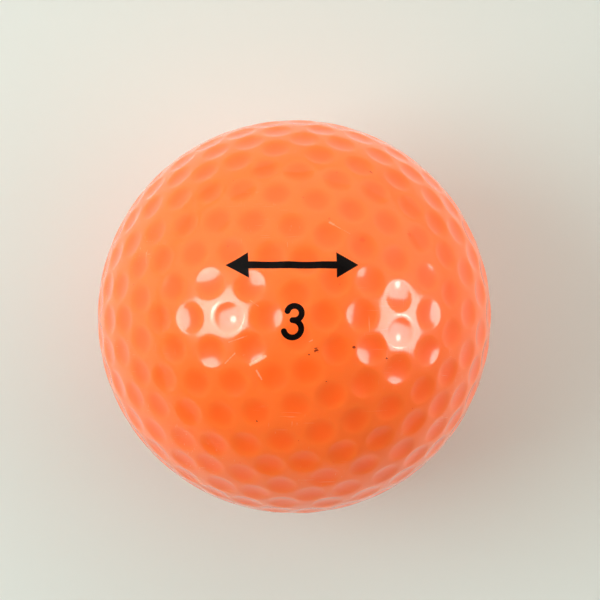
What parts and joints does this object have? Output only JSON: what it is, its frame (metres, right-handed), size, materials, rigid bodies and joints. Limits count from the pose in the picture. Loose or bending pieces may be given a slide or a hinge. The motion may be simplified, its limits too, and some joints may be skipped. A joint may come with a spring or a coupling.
{
  "type": "golf ball",
  "caption": "Dimpled golf ball: a solid core in an orange cover fused from half shells, with an arrow and a play number printed at each pole under a clear coat.",
  "frame": {"origin": "centre of the ball", "axes": "+Z through the middle of the upper printed pole, the seam in the XY plane, and the printing reads upright with +Y up"},
  "size_m": [0.0426, 0.0426, 0.0426],
  "materials": {
    "core_rubber": "matt moulded rubber",
    "cover_ionomer": "pigmented ionomer, slightly translucent",
    "ink": "pad-printed film",
    "clear_coat": "clear gloss lacquer"
  },
  "bodies": {
    "root": {"core": "core_rubber", "cover_upper": "cover_ionomer", "cover_lower": "cover_ionomer", "alignment_arrow_upper": "ink", "alignment_arrow_lower": "ink", "play_number_upper": "ink", "play_number_lower": "ink", "clear_coat": "clear_coat"}
  },
  "joints": []
}
